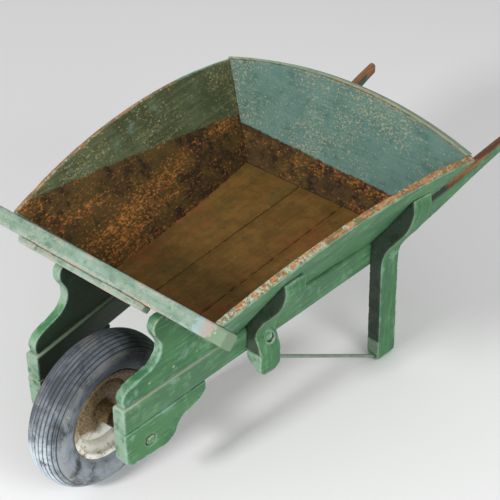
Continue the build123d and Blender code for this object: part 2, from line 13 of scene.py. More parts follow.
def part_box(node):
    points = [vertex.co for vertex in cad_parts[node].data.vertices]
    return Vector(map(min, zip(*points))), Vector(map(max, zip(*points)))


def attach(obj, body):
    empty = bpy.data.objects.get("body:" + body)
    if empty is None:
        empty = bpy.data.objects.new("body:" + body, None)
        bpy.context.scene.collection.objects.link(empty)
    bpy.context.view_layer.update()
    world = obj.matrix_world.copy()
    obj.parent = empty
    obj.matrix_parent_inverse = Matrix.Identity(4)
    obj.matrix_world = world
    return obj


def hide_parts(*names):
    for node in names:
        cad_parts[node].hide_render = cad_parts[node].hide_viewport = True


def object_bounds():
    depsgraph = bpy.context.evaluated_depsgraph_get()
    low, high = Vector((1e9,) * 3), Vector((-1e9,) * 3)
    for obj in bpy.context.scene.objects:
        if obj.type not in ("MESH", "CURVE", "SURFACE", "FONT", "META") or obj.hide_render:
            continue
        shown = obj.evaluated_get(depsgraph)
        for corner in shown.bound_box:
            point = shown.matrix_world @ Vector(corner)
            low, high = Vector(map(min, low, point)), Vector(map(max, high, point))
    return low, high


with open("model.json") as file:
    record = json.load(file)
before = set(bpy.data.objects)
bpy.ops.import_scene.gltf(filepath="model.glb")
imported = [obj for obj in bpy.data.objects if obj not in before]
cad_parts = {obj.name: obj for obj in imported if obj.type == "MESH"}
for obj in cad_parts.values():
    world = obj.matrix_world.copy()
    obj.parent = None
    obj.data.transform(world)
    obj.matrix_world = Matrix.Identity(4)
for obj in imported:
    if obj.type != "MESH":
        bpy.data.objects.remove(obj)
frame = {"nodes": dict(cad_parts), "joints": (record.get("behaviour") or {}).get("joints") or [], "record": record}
cadLow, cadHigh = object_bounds()
nodes = frame["nodes"]
record = frame["record"]
print("frame loaded:", len(nodes), "nodes")

mm = 0.001
wheelJoint = frame["joints"][0]
axleCentre = Vector(wheelJoint["pos_m"])
openings = record["physics"]["openings"]
loadLow = Vector([min(o["box_m"][0][i] for o in openings) for i in range(3)])
loadHigh = Vector([max(o["box_m"][1][i] for o in openings) for i in range(3)])
loadCentre = (loadLow + loadHigh) / 2


# shader maths
# a node's output, with arithmetic that adds Math nodes
class Socket:
    def __init__(self, paint, link):
        self.paint = paint
        self.link = link

    def maths(self, operation, first, second=None):
        return self.paint.node("ShaderNodeMath", {"operation": operation}, {0: first, 1: second})

    def __add__(self, other):
        return self.maths("ADD", self, other)

    def __radd__(self, other):
        return self.maths("ADD", other, self)

    def __sub__(self, other):
        return self.maths("SUBTRACT", self, other)

    def __rsub__(self, other):
        return self.maths("SUBTRACT", other, self)

    def __mul__(self, other):
        return self.maths("MULTIPLY", self, other)

    def __rmul__(self, other):
        return self.maths("MULTIPLY", other, self)

    def __truediv__(self, other):
        return self.maths("DIVIDE", self, other)

    def __rtruediv__(self, other):
        return self.maths("DIVIDE", other, self)

    def __pow__(self, other):
        return self.maths("POWER", self, other)

    def __rpow__(self, other):
        return self.maths("POWER", other, self)

    def clipped(self):
        return self.maths("MINIMUM", self.maths("MAXIMUM", self, 0.0), 1.0)


# linear colour from a hex code
def tint(code):
    parts = [int(code[i:i + 2], 16) / 255 for i in (1, 3, 5)]
    return tuple(p / 12.92 if p < 0.04045 else ((p + 0.055) / 1.055) ** 2.4 for p in parts) + (1.0,)


# one material, built a node at a time
class Paint:
    def __init__(self, name):
        self.material = bpy.data.materials.new(name)
        self.material.use_nodes = True
        self.tree = self.material.node_tree
        self.shader = self.tree.nodes["Principled BSDF"]

    def node(self, kind, settings=None, values=None, out=0):
        made = self.tree.nodes.new(kind)
        for key, value in (settings or {}).items():
            if key == "stops":
                self.fillRamp(made.color_ramp, value)
            else:
                setattr(made, key, value)
        for key, value in (values or {}).items():
            if value is None:
                continue
            self.feed(made.inputs[key], value)
        return Socket(self, made.outputs[out])

    def feed(self, target, value):
        if isinstance(value, Socket):
            self.tree.links.new(value.link, target)
        else:
            target.default_value = value

    def fillRamp(self, ramp, stops):
        while len(ramp.elements) < len(stops):
            ramp.elements.new(0.5)
        for element, (place, colour) in zip(ramp.elements, stops):
            element.position = place
            element.color = colour

    # coordinates
    def place(self):
        return self.node("ShaderNodeTexCoord", out="Object")

    def named(self, attribute, out="Fac"):
        return self.node("ShaderNodeAttribute", {"attribute_name": attribute}, out=out)

    def stretched(self, vector, amounts):
        return self.node("ShaderNodeVectorMath", {"operation": "MULTIPLY"}, {0: vector, 1: amounts})

    def part(self, vector, axis):
        return self.node("ShaderNodeSeparateXYZ", values={0: vector}, out=axis)

    # patterns
    def noise(self, vector, scale, detail=4.0, rough=0.55, twist=0.0):
        values = {"Vector": vector, "Scale": scale, "Detail": detail, "Roughness": rough, "Distortion": twist}
        return self.node("ShaderNodeTexNoise", values=values)

    # 0 below low, 1 above high and smooth between
    def rise(self, value, low, high):
        values = {"Value": value, "From Min": low, "From Max": high}
        return self.node("ShaderNodeMapRange", {"interpolation_type": "SMOOTHSTEP"}, values)

    def mixed(self, share, first, second):
        settings = {"data_type": "RGBA"}
        return self.node("ShaderNodeMix", settings, {0: share, 6: first, 7: second}, out=2)

    def bump(self, height, strength, distance, under=None):
        values = {"Height": height, "Strength": strength, "Distance": distance, "Normal": under}
        return self.node("ShaderNodeBump", values=values)

    def finish(self, colour, roughness, normal=None, metallic=None, shine=0.5):
        self.shader.inputs["Specular IOR Level"].default_value = shine
        self.feed(self.shader.inputs["Base Color"], colour)
        self.feed(self.shader.inputs["Roughness"], roughness)
        if normal is not None:
            self.feed(self.shader.inputs["Normal"], normal)
        if metallic is not None:
            self.feed(self.shader.inputs["Metallic"], metallic)
        return self.material


# painted wood
# What the barrow's old paint and wood look like. 'shade' is the colour of the painted shade, and 'pale' the colour
# of front faces, part worn paint and part painted highlight.
outerPaint = {
    "paint": "#49784e", "light": "#6b9470", "dark": "#3b6645", "cool": "#7fa293",
    "pale": "#889d8b", "under": "#b5ab95", "wood": "#a08570", "shade": "#262d24",
    "chips": 0.35, "arrisWear": 0.42, "gloss": 0.45,
}
railPaint = {
    "paint": "#7c9183", "light": "#a4aa9e", "dark": "#557763", "cool": "#84988f",
    "pale": "#8f9f90", "under": "#b0a08e", "wood": "#9c8272", "shade": "#43564c",
    "chips": 1.3, "arrisWear": 0.6, "gloss": 0.5,
}
backPaint = {
    "paint": "#56736a", "light": "#6f887d", "dark": "#3f5f54", "cool": "#6b8887",
    "pale": "#56736a", "under": "#a39a80", "wood": "#84714f", "shade": "#2e3a30",
    "chips": 1.55, "arrisWear": 0.5, "gloss": 0.5,
    "soilLine": {"front": 0.487, "back": 0.487, "bulge": 0.0, "tilt": -0.03},
}
farPaint = {
    "paint": "#4d5639", "light": "#606a4b", "dark": "#3b4329", "cool": "#66837a",
    "pale": "#4d5639", "under": "#a09166", "wood": "#9a6535", "shade": "#23281c",
    "chips": 1.35, "arrisWear": 0.4, "gloss": 0.55,
    "soilLine": {"front": 0.582, "back": 0.502, "bulge": 0.014, "tilt": 0.0},
}
headPaint = dict(farPaint, soilLine={"front": 0.9, "back": 0.9, "bulge": 0.0, "tilt": 0.0})
handlePaint = {"wood": "#8f5a32", "woodLight": "#b98250", "woodDark": "#5a3419"}
topWear = {"wood": "#a5794f", "deep": "#775233", "flake": "#97a48f"}
# soil colours, and how much painted shade darkens the soil on the back board
soilStainAndShade = {
    "base": "#402f12", "olive": "#4e3f19", "dark": "#1f1708", "rust": "#7d4d20", "glow": "#b37a38",
    "ash": "#6c6140", "backShadeAmount": 0.85,
}


def woodGrain(p):
    grain = p.named("grain", "Vector")
    fibre = p.noise(p.stretched(grain, (3.0, 70.0, 70.0)), 1.0, 6.0, 0.6, 0.4)
    fine = p.noise(p.stretched(grain, (14.0, 420.0, 420.0)), 1.0, 3.0, 0.6)
    return grain, fibre, fine


# brushed paint with chips down to an older coat, worn to wood here and there at the arrises; paler along the
# arrises as thinned paint and painted highlight, paler on front faces as worn paint and painted highlight, and
# dark on 'shade' faces as painted shade
def paintedColour(p, look, grain, fibre, fine):
    place = p.place()
    worn = p.named("arris")
    blotch = p.noise(place, 9.0, 5.0, 0.6)
    cloud = p.noise(place, 30.0, 6.0, 0.65, 0.6)
    brush = p.noise(p.stretched(grain, (9.0, 120.0, 120.0)), 1.0, 4.0, 0.6)
    coat = p.mixed(p.rise(blotch + (brush - 0.5) * 0.6, 0.36, 0.64), tint(look["dark"]), tint(look["paint"]))
    # paler and cooler towards the arrises: thinned paint and a painted edge highlight
    edgeZone = worn * 0.12
    coat = p.mixed(p.rise(cloud + (brush - 0.5) * 0.6 + edgeZone, 0.52, 0.74) * 0.6, coat,
                   tint(look["light"]))
    coat = p.mixed(p.rise(p.noise(place, 17.0, 5.0, 0.65) + edgeZone, 0.57, 0.72) * 0.55, coat,
                   tint(look["cool"]))
    scratch = p.rise(p.noise(p.stretched(grain, (5.0, 260.0, 260.0)), 1.0, 3.0, 0.7), 0.66, 0.76)
    coat = p.mixed(scratch * 0.3, coat, tint(look["under"]))
    ragged = p.noise(place, 95.0, 6.0, 0.7)
    # a pale halo along the arrises: thinned paint and a painted edge highlight
    coat = p.mixed(p.rise(worn + (cloud - 0.5) * 1.4, 0.35, 0.95) * 0.45, coat, tint(look["cool"]))
    # front faces paler: part worn paint, part painted highlight from the front light
    facing = p.named("front")
    coat = p.mixed((facing * p.rise(cloud, 0.36, 0.56)).clipped() * 0.8, coat, tint(look["pale"]))
    speckle = p.noise(p.stretched(grain, (130.0, 185.0, 185.0)), 1.0, 8.0, 0.75, 0.3)
    region = p.rise(p.noise(place, 6.0, 3.0, 0.5), 0.35, 0.65)
    level = 0.74 - 0.09 * look["chips"]
    chips = p.rise(speckle + region * 0.05 * look["chips"] + worn * 0.05, level, level + 0.02)
    coat = p.mixed(chips * 0.7, coat, tint(look["under"]))
    zone = p.rise(p.noise(place, 6.5, 4.0, 0.55), 0.44, 0.6)
    rubbed = worn * (zone * 0.5 + 0.55) + (ragged - 0.5) * 1.1 + (cloud - 0.5) * 0.6 + p.named("loss")
    bare = p.rise(rubbed, 1.06 - look["arrisWear"] * 0.5, 1.12 - look["arrisWear"] * 0.5)
    wood = p.mixed(fine, tint(look["wood"]), tint(look["under"]))
    colour = p.mixed(bare * 0.85, coat, wood)
    # painted shade: the 'shade' faces take the dark 'shade' colour, with some light specks left
    dim = p.named("shade") * (1.0 - p.rise(speckle, 0.58, 0.66) * 0.5) * 0.85
    colour = p.mixed(dim.clipped(), colour, tint(look["shade"]))
    relief = fibre * 0.35 + brush * 0.15 + fine * 0.1 - chips * 0.35 - bare * 0.5
    return colour, relief, chips, bare, cloud, ragged


# below the line that loads of soil have left inside the tray
def soilMask(p, line, ragged, cloud):
    place = p.place()
    along = (p.part(place, "Y") - cadLow.y - 0.22) / (loadHigh.y + 0.08 - cadLow.y - 0.22)
    level = line["front"] + along * (line["back"] - line["front"]) + (1.0 - along) * along * 4.0 * line["bulge"]
    level = level + p.part(place, "X") * line["tilt"] + (cloud - 0.5) * 0.012 + (ragged - 0.5) * 0.014
    return p.rise(level - p.part(place, "Z"), -0.002, 0.003)


def soiledColour(p, grain, fibre, fine):
    place = p.place()
    flecks = p.noise(p.stretched(grain, (105.0, 170.0, 170.0)), 1.0, 8.0, 0.75, 0.3)
    streak = p.noise(p.stretched(grain, (3.0, 22.0, 22.0)), 1.0, 3.0, 0.5)
    big = p.noise(place, 6.0, 4.0, 0.6)
    mid = p.noise(place, 32.0, 6.0, 0.65)
    colour = p.mixed(p.rise(mid, 0.36, 0.6), tint(soilStainAndShade["dark"]), tint(soilStainAndShade["base"]))
    colour = p.mixed(p.rise(big + (mid - 0.5) * 0.4, 0.44, 0.6) * 0.6, colour, tint(soilStainAndShade["olive"]))
    field = flecks + (streak - 0.5) * 0.3 + (big - 0.5) * 0.2
    rust = p.rise(field, 0.51, 0.58)
    colour = p.mixed(rust * 0.85, colour, tint(soilStainAndShade["rust"]))
    glow = p.rise(field, 0.585, 0.63)
    colour = p.mixed(glow * 0.7, colour, tint(soilStainAndShade["glow"]))
    ash = p.rise(p.noise(place, 140.0, 6.0, 0.7), 0.62, 0.68)
    colour = p.mixed(ash * 0.4, colour, tint(soilStainAndShade["ash"]))
    return colour, rust * 0.4 + glow * 0.3 + fibre * 0.2


# the side boards' top edges, rubbed to orange wood with flakes of paint left
def rubbedTop(p, colour, fine, cloud, ragged):
    place = p.place()
    far = p.rise(0.0 - p.part(place, "X"), 0.0, 0.1) * p.rise(p.part(place, "Y") + (cloud - 0.5) * 0.2,
                                                              0.02, 0.1)
    top = p.named("top") * p.rise(cloud + (ragged - 0.5) * 0.8, 0.3, 0.42) * (1.0 - far)
    wood = p.mixed(p.rise(fine + (cloud - 0.5), 0.4, 0.6), tint(topWear["deep"]), tint(topWear["wood"]))
    front = p.rise(0.0 - p.part(place, "Y"), 0.1, 0.4) * p.rise(p.part(place, "X"), 0.0, 0.1) * 0.06
    wood = p.mixed(p.rise(ragged + front, 0.56, 0.6), wood, tint(topWear["flake"]))
    return p.mixed(top.clipped(), colour, wood)


def paintedWood(name, look, inside=None):
    p = Paint(name)
    grain, fibre, fine = woodGrain(p)
    colour, relief, chips, bare, cloud, ragged = paintedColour(p, look, grain, fibre, fine)
    roughness = (look["gloss"] + cloud * 0.25 + chips * 0.2 + bare * 0.25).clipped()
    if inside:
        inner = paintedColour(p, inside, grain, fibre, fine)
        soil, soilRelief = soiledColour(p, grain, fibre, fine)
        mask = soilMask(p, inside["soilLine"], ragged, cloud)
        # painted shade: the soil on the back board is painted darker
        darker = p.rise(p.part(p.place(), "Y"), loadHigh.y, loadHigh.y + 0.02) * soilStainAndShade["backShadeAmount"]
        soil = p.mixed(darker, soil, tint(soilStainAndShade["dark"]))
        innerColour = p.mixed(mask, inner[0], soil)
        faces = p.rise(p.named("inside"), 0.35, 0.6)
        colour = p.mixed(faces, colour, innerColour)
        colour = rubbedTop(p, colour, fine, cloud, ragged)
        relief = relief + faces * (inner[1] - relief + mask * (soilRelief - inner[1]))
        roughness = (roughness + faces * 0.25).clipped()
    return p.finish(colour, roughness, p.bump(relief, 0.55, 0.0014), shine=0.25)


railEnd = {"mint": 0.25, "white": 0.276, "pink": 0.297, "green": 0.318}


# the rail's blotchy pale paint, with a white, a pink and a green patch towards its near end
def railWood():
    p = Paint("railWood")
    grain, fibre, fine = woodGrain(p)
    colour, relief, chips, bare, cloud, ragged = paintedColour(p, railPaint, grain, fibre, fine)
    across = p.part(p.place(), "X") + (cloud - 0.5) * 0.05 + (ragged - 0.5) * 0.07
    bands = ((railEnd["mint"], railEnd["white"], "#94a2a3"), (railEnd["white"], railEnd["pink"], "#a08b7f"),
             (railEnd["pink"], railEnd["green"], "#557f5d"))
    for start, end, shade in bands:
        colour = p.mixed(p.rise(across, start + 0.008, end - 0.008) * 0.7, colour, tint(shade))
    return p.finish(colour, 0.5 + cloud * 0.25, p.bump(relief, 0.6, 0.0016), shine=0.25)


def floorWood():
    p = Paint("soiledFloorWood")
    grain, fibre, fine = woodGrain(p)
    place = p.place()
    big = p.noise(place, 7.0, 5.0, 0.6, 0.4)
    mid = p.noise(place, 26.0, 6.0, 0.68, 0.5)
    colour = p.mixed(p.rise(mid + (fibre - 0.5) * 0.5, 0.3, 0.72), tint("#5a421c"), tint("#735528"))
    colour = p.mixed(p.rise(big + (mid - 0.5) * 0.3, 0.5, 0.66) * 0.5, colour, tint("#7c4422"))
    colour = p.mixed(p.rise(p.noise(place, 10.0, 5.0, 0.65), 0.52, 0.66) * 0.5, colour, tint("#4b4622"))
    streak = p.rise(p.noise(p.stretched(grain, (2.2, 75.0, 75.0)), 1.0, 4.0, 0.6), 0.68, 0.74)
    colour = p.mixed(streak * 0.45, colour, tint("#a5723c"))
    pits = p.rise(p.noise(place, 110.0, 6.0, 0.72), 0.6, 0.66)
    colour = p.mixed(pits * 0.45, colour, tint("#8f5528"))
    worn = p.named("arris")
    ragged = p.noise(place, 60.0, 5.0, 0.7)
    edge = p.rise(worn + (ragged - 0.5) * 0.9, 0.78, 0.9)
    colour = p.mixed(edge * 0.6, colour, tint("#a0703f"))
    relief = fibre * 0.5 + mid * 0.2 + fine * 0.15 - pits * 0.2
    return p.finish(colour, 0.55 + mid * 0.3, p.bump(relief, 0.5, 0.0015), shine=0.15)


def heldWood(p, fine, cloud):
    place = p.place()
    ring = p.noise(p.stretched(p.named("grain", "Vector"), (1.4, 34.0, 34.0)), 1.0, 5.0, 0.55, 1.2)
    colour = p.mixed(p.rise(ring, 0.35, 0.65), tint(handlePaint["woodDark"]), tint(handlePaint["wood"]))
    colour = p.mixed(p.rise(fine + (ring - 0.5), 0.45, 0.8) * 0.6, colour, tint(handlePaint["woodLight"]))
    grime = p.rise(p.noise(place, 14.0, 5.0, 0.6), 0.5, 0.75)
    return p.mixed(grime * 0.4, colour, tint(handlePaint["woodDark"]))


def bareWood(name):
    p = Paint(name)
    grain, fibre, fine = woodGrain(p)
    cloud = p.noise(p.place(), 22.0, 5.0, 0.6)
    colour = heldWood(p, fine, cloud)
    return p.finish(colour, 0.5 + cloud * 0.25, p.bump(fibre * 0.5 + fine * 0.3, 0.5, 0.0012))


# the shaft's wear, its painted highlight ('ledge') and its painted shadow ('trayShadow')
shaftWearAndShade = {"ledge": "#939d8b", "seam": "#b3a08e", "trayShadow": "#2b2d24", "behindTray": 0.45, "grip": 0.06}


# green like the rest, and rubbed down to the wood on top of the handles; the top face pale at the front as painted
# highlight, with worn paint at the outer seam, and near-black under the tray as painted shadow
def shaftWood():
    p = Paint("shaftWood")
    grain, fibre, fine = woodGrain(p)
    colour, relief, chips, bare, cloud, ragged = paintedColour(p, outerPaint, grain, fibre, fine)
    place = p.place()
    up = p.named("top")
    along = p.part(place, "Y")
    # pale ledge on the top face at the front: painted highlight, with worn paint along the outer seam
    ledge = up * p.rise(0.0 - along, 0.35, 0.4)
    outer = (p.named("loss") * 4.0).clipped()
    gaps = p.rise(ragged + (cloud - 0.5) * 0.8, 0.42, 0.52)
    colour = p.mixed((ledge * (1.0 - outer) * 0.8).clipped(), colour, tint(shaftWearAndShade["ledge"]))
    colour = p.mixed((ledge * outer * gaps * 0.9).clipped(), colour, tint(shaftWearAndShade["seam"]))
    # the top face under the tray painted near-black: the tray's painted shadow
    trayShadow = up * p.rise(along, 0.18, 0.2) * 0.9
    colour = p.mixed(trayShadow.clipped(), colour, tint(shaftWearAndShade["trayShadow"]))
    behind = p.rise(along + (ragged - 0.5) * 0.08, shaftWearAndShade["behindTray"], shaftWearAndShade["behindTray"] + 0.02)
    held = behind * p.rise(up + (cloud - 0.5) * 0.9, 0.3, 0.55)
    gripStart = cadHigh.y - shaftWearAndShade["grip"]
    held = held + p.rise(along + (cloud - 0.5) * 0.06, gripStart, gripStart + 0.02) * (1.0 - held) * 0.8
    colour = p.mixed(held.clipped(), colour, heldWood(p, fine, cloud))
    roughness = (0.45 + cloud * 0.2 + bare * 0.2 - held * 0.08).clipped()
    return p.finish(colour, roughness, p.bump(relief, 0.55, 0.0014))


# metal and rubber
def rustyMetal(name, base, rust, dark, gloss=0.5, metal=0.0, rusted=0.5):
    p = Paint(name)
    place = p.place()
    speck = p.noise(place, 190.0, 8.0, 0.75)
    patch = p.noise(place, 26.0, 6.0, 0.6)
    colour = p.mixed(p.rise(speck + (patch - 0.5) * 0.8, 0.66 - rusted * 0.3, 0.74 - rusted * 0.3),
                     tint(base), tint(rust))
    colour = p.mixed(p.rise(p.noise(place, 75.0, 6.0, 0.7), 0.5, 0.68) * 0.6, colour, tint(dark))
    relief = speck * 0.5 + patch * 0.3
    return p.finish(colour, (gloss + speck * 0.35).clipped(), p.bump(relief, 0.45, 0.0007), metal)


wheelLitAndShadedTones = {"cream": "#fbfaf0", "creamDull": "#ddd7c2", "rust": "#76522c", "brown": "#9d8660",
             "dark": "#5c4b33"}


# greasy steel, painted over where the ends stand in the cheeks
def axleSteel():
    p = Paint("greasyAxleSteel")
    place = p.place()
    speck = p.noise(place, 150.0, 7.0, 0.7)
    steel = p.mixed(p.rise(speck, 0.4, 0.6), tint("#17130f"), tint("#4a3c2b"))
    paint = p.mixed(p.rise(speck, 0.5, 0.66), tint(outerPaint["paint"]), tint(outerPaint["under"]))
    side = p.node("ShaderNodeMath", {"operation": "ABSOLUTE"}, {0: p.part(place, "X")})
    ends = p.rise(side, 0.16, 0.161)
    colour = p.mixed(ends, steel, paint)
    return p.finish(colour, 0.45 + speck * 0.3, p.bump(speck, 0.3, 0.0006))


# cream paint and rust, split by height: the lower part bright cream as painted light, the upper part rusty brown
# as painted shade
def wheelPaintAndShade(name, lower, upper):
    p = Paint(name)
    place = p.place()
    speck = p.noise(place, 170.0, 8.0, 0.75)
    patch = p.noise(place, 24.0, 6.0, 0.62)
    cream = p.mixed(p.rise(patch, 0.42, 0.66), tint(wheelLitAndShadedTones["cream"]), tint(wheelLitAndShadedTones["creamDull"]))
    cream = p.mixed(p.rise(speck + (patch - 0.5) * 0.7, 0.57, 0.63) * 0.85, cream, tint(wheelLitAndShadedTones["rust"]))
    rust = p.mixed(p.rise(speck, 0.4, 0.58), tint(wheelLitAndShadedTones["dark"]), tint(wheelLitAndShadedTones["brown"]))
    rust = p.mixed(p.rise(p.noise(place, 80.0, 6.0, 0.7), 0.55, 0.66) * 0.7, rust, tint("#a8936a"))
    # the split by height: cream below as painted light, rust above as painted shade
    height = p.part(place, "Z") + (patch - 0.5) * 0.09 + (speck - 0.5) * 0.05
    bare = p.rise(height, lower, upper)
    colour = p.mixed(bare, cream, rust)
    return p.finish(colour, 0.42 + speck * 0.35, p.bump(speck * 0.5 + patch * 0.3, 0.4, 0.0007))


tyreLook = {"dark": "#31363b", "mid": "#737c84", "light": "#b9c4cc", "tan": "#8d8978", "groove": "#2b2f34",
            "line": "#a79d84", "dustAndShadeTop": 0.33, "dustAndShadeFall": 0.16}


# perished rubber, lighter on its lower part and most on the tread as dust and painted highlight, darker on top as
# painted shade, dark in the tread grooves as painted shade, pale dust in the fine side lines, and pale cracks at
# the shoulder
def tyreRubber():
    p = Paint("perishedTyreRubber")
    skin = p.named("skin", "Vector")
    place = p.place()
    dust = p.noise(place, 22.0, 6.0, 0.62, 0.5)
    sweep = p.noise(p.stretched(skin, (300.0, 9.0, 1.0)), 1.0, 4.0, 0.6)
    fine = p.noise(p.stretched(skin, (60.0, 60.0, 1.0)), 4.0, 6.0, 0.7)
    side = p.node("ShaderNodeMath", {"operation": "ABSOLUTE"}, {0: p.part(place, "X")})
    tread = 1.0 - p.rise(side, 0.026, 0.042)
    # the lower part, below a ragged height: dust and painted highlight there, painted shade above
    low = p.rise(tyreLook["dustAndShadeTop"] - p.part(place, "Z") + (dust - 0.5) * 0.12, 0.0, tyreLook["dustAndShadeFall"])
    colour = p.mixed(p.rise(dust + (sweep - 0.5) * 0.7, 0.32, 0.66), tint(tyreLook["dark"]),
                     tint(tyreLook["mid"]))
    # lighter lower part and tread: dust and painted highlight
    dustAndHighlight = low * (tread * 0.75 + 0.3) * p.rise(dust + (fine - 0.5) * 0.5, 0.3, 0.55)
    colour = p.mixed(dustAndHighlight.clipped(), colour, tint(tyreLook["light"]))
    colour = p.mixed(p.rise(p.noise(place, 11.0, 5.0, 0.6), 0.56, 0.7) * 0.6, colour, tint(tyreLook["tan"]))
    # darker upper part: painted shade
    colour = p.mixed((1.0 - low) * 0.5, colour, tint(tyreLook["dark"]))
    # dark tread grooves: painted shade
    colour = p.mixed((p.named("groove") * 0.85).clipped(), colour, tint(tyreLook["groove"]))
    line = p.rise(p.named("line"), 0.75, 0.95) * p.rise(dust + (fine - 0.5), 0.3, 0.6)
    colour = p.mixed((line * 0.7).clipped(), colour, tint(tyreLook["line"]))
    turn = p.part(skin, "Y")
    crackPath = turn + (p.noise(p.stretched(skin, (45.0, 14.0, 1.0)), 1.0, 4.0, 0.7) - 0.5) * 0.02
    near = p.node("ShaderNodeMath", {"operation": "PINGPONG"}, {0: crackPath + 0.06, 1: 0.11})
    thin = 1.0 - p.rise(near, 0.0007, 0.0016)
    broken = p.rise(p.noise(p.stretched(skin, (60.0, 30.0, 1.0)), 1.0, 3.0, 0.6), 0.56, 0.62)
    crack = (thin * broken).clipped()
    colour = p.mixed(crack * 0.55, colour, tint("#b9b7aa"))
    relief = sweep * 0.3 + fine * 0.25 - crack * 0.6
    return p.finish(colour, 0.62 + dust * 0.25, p.bump(relief, 0.4, 0.0008))


def plainRubber():
    p = Paint("tubeRubber")
    place = p.place()
    bloom = p.noise(place, 40.0, 5.0, 0.6)
    colour = p.mixed(bloom, tint("#141416"), tint("#2b2b2e"))
    return p.finish(colour, 0.6 + bloom * 0.2, p.bump(bloom, 0.2, 0.0005))


def bronze():
    p = Paint("dullBronze")
    place = p.place()
    tarnish = p.noise(place, 70.0, 6.0, 0.65)
    colour = p.mixed(p.rise(tarnish, 0.35, 0.7), tint("#9a7038"), tint("#4b3619"))
    return p.finish(colour, 0.35 + tarnish * 0.35, p.bump(tarnish, 0.2, 0.0004), 0.8)


finishes = {
    "shaft": shaftWood(),
    "green": paintedWood("greenPaintedWood", outerPaint),
    "side": paintedWood("sideBoardWood", outerPaint, farPaint),
    "back": paintedWood("backBoardWood", outerPaint, backPaint),
    "head": paintedWood("headboardWood", outerPaint, headPaint),
    "rail": railWood(),
    "cap": rustyMetal("capStripPaint", "#74866f", "#8f8f78", "#4a5a48", 0.55, 0.0, 0.4),
    "floor": floorWood(),
    "bare": bareWood("bareWood"),
    "stay": rustyMetal("paintedStayIron", "#6f8873", "#8d8a78", "#3c4d40", 0.5, 0.1, 0.5),
    "bolt": rustyMetal("paintedBoltIron", "#5a8660", "#86a48b", "#3c6145", 0.45, 0.0, 0.4),
    "nail": rustyMetal("paintedNailIron", "#5f8a66", "#a3a08c", "#334b39", 0.5, 0.1, 0.5),
    "floorNail": rustyMetal("soiledNailIron", "#4a3a20", "#6a4726", "#241a0e", 0.65, 0.1, 0.5),
    # disc, hub and rim: cream below the given heights as painted light, rust above as painted shade
    "disc": wheelPaintAndShade("rustyDiscSteel", 0.135, 0.175),
    "hub": wheelPaintAndShade("rustyHubSteel", 0.05, 0.08),
    "axle": axleSteel(),
    "rim": wheelPaintAndShade("creamRimPaint", 0.15, 0.215),
    "tyre": tyreRubber(),
    "tube": plainRubber(),
    "bronze": bronze(),
}
print("finishes made:", len(finishes))


# weathered boards, carved from the frame's own shapes
# a repeatable number from 0 to 1 at each whole grid point
def hashed(grid, seed):
    n = grid[:, 0] * 374761393 + grid[:, 1] * 668265263 + grid[:, 2] * 1274126177 + seed * 97531
    n = (n ^ (n >> 13)) * 1103515245 & 0x7FFFFFFF
    n = (n ^ (n >> 16)) & 0xFFFF
    return n / 0xFFFF


# smooth noise from -1 to 1, with lumps about a cell across
def lumps(points, cell, seed):
    spot = points / cell
    base = np.floor(spot).astype(np.int64)
    share = spot - base
    share = share * share * (3 - 2 * share)
    total = np.zeros(len(points))
    for corner in range(8):
        step = np.array([corner & 1, corner >> 1 & 1, corner >> 2 & 1])
        weight = np.prod(np.where(step, share, 1 - share), axis=1)
        total += weight * hashed(base + step, seed)
    return total * 2 - 1


boardCut = {
    "voxel": 3.0 * mm, "rounding": 1.5, "arrisReach": 9 * mm,
    "chipDepth": 2.2 * mm, "dentDepth": 0.5 * mm, "sharpAngle": 38.0, "smoothing": 4,
}


# a bmesh of the CAD shape with its flat faces whole again
def cleaned(mesh):
    bm = bmesh.new()
    bm.from_mesh(mesh)
    bmesh.ops.remove_doubles(bm, verts=bm.verts, dist=0.01 * mm)
    bmesh.ops.dissolve_limit(bm, angle_limit=math.radians(0.5), verts=bm.verts, edges=bm.edges)
    bmesh.ops.triangulate(bm, faces=bm.faces)
    return bm


# points along every outer corner of the shape that is long enough to take wear
def arrisPoints(bm, shortest, step=1.5 * mm):
    points = []
    for edge in bm.edges:
        if len(edge.link_faces) != 2 or not edge.is_convex:
            continue
        if edge.calc_face_angle(0.0) < math.radians(boardCut["sharpAngle"]) or edge.calc_length() < shortest:
            continue
        a, b = (v.co for v in edge.verts)
        count = max(1, int((b - a).length / step))
        points.extend(a.lerp(b, i / count) for i in range(count + 1))
    return points


def remeshed(name, bm, voxel):
    shell = bpy.data.meshes.new(name + "_shell")
    bm.to_mesh(shell)
    holder = bpy.data.objects.new(name + "_holder", shell)
    bpy.context.scene.collection.objects.link(holder)
    remesh = holder.modifiers.new("remesh", "REMESH")
    remesh.mode = "VOXEL"
    remesh.voxel_size = voxel
    graph = bpy.context.evaluated_depsgraph_get()
    mesh = bpy.data.meshes.new_from_object(holder.evaluated_get(graph))
    bpy.data.objects.remove(holder)
    bpy.data.meshes.remove(shell)
    mesh.name = name
    return mesh


def coordinates(mesh):
    flat = np.empty(len(mesh.vertices) * 3)
    mesh.vertices.foreach_get("co", flat)
    return flat.reshape(-1, 3)


def normals(mesh):
    flat = np.empty(len(mesh.vertices) * 3)
    mesh.vertices.foreach_get("normal", flat)
    return flat.reshape(-1, 3)


# moves the chosen points towards their neighbours
def relaxed(points, edges, chosen, rounds):
    count = np.bincount(edges.ravel(), minlength=len(points))[:, None]
    for _ in range(rounds):
        total = np.zeros_like(points)
        np.add.at(total, edges[:, 0], points[edges[:, 1]])
        np.add.at(total, edges[:, 1], points[edges[:, 0]])
        middle = total / np.maximum(count, 1)
        points = np.where(chosen[:, None], points * 0.5 + middle * 0.5, points)
    return points


def storeNumber(mesh, name, values):
    mesh.attributes.new(name, "FLOAT", "POINT").data.foreach_set("value", values.astype(np.float32))


def storeVector(mesh, name, values):
    flat = values.astype(np.float32).ravel()
    mesh.attributes.new(name, "FLOAT_VECTOR", "POINT").data.foreach_set("vector", flat)


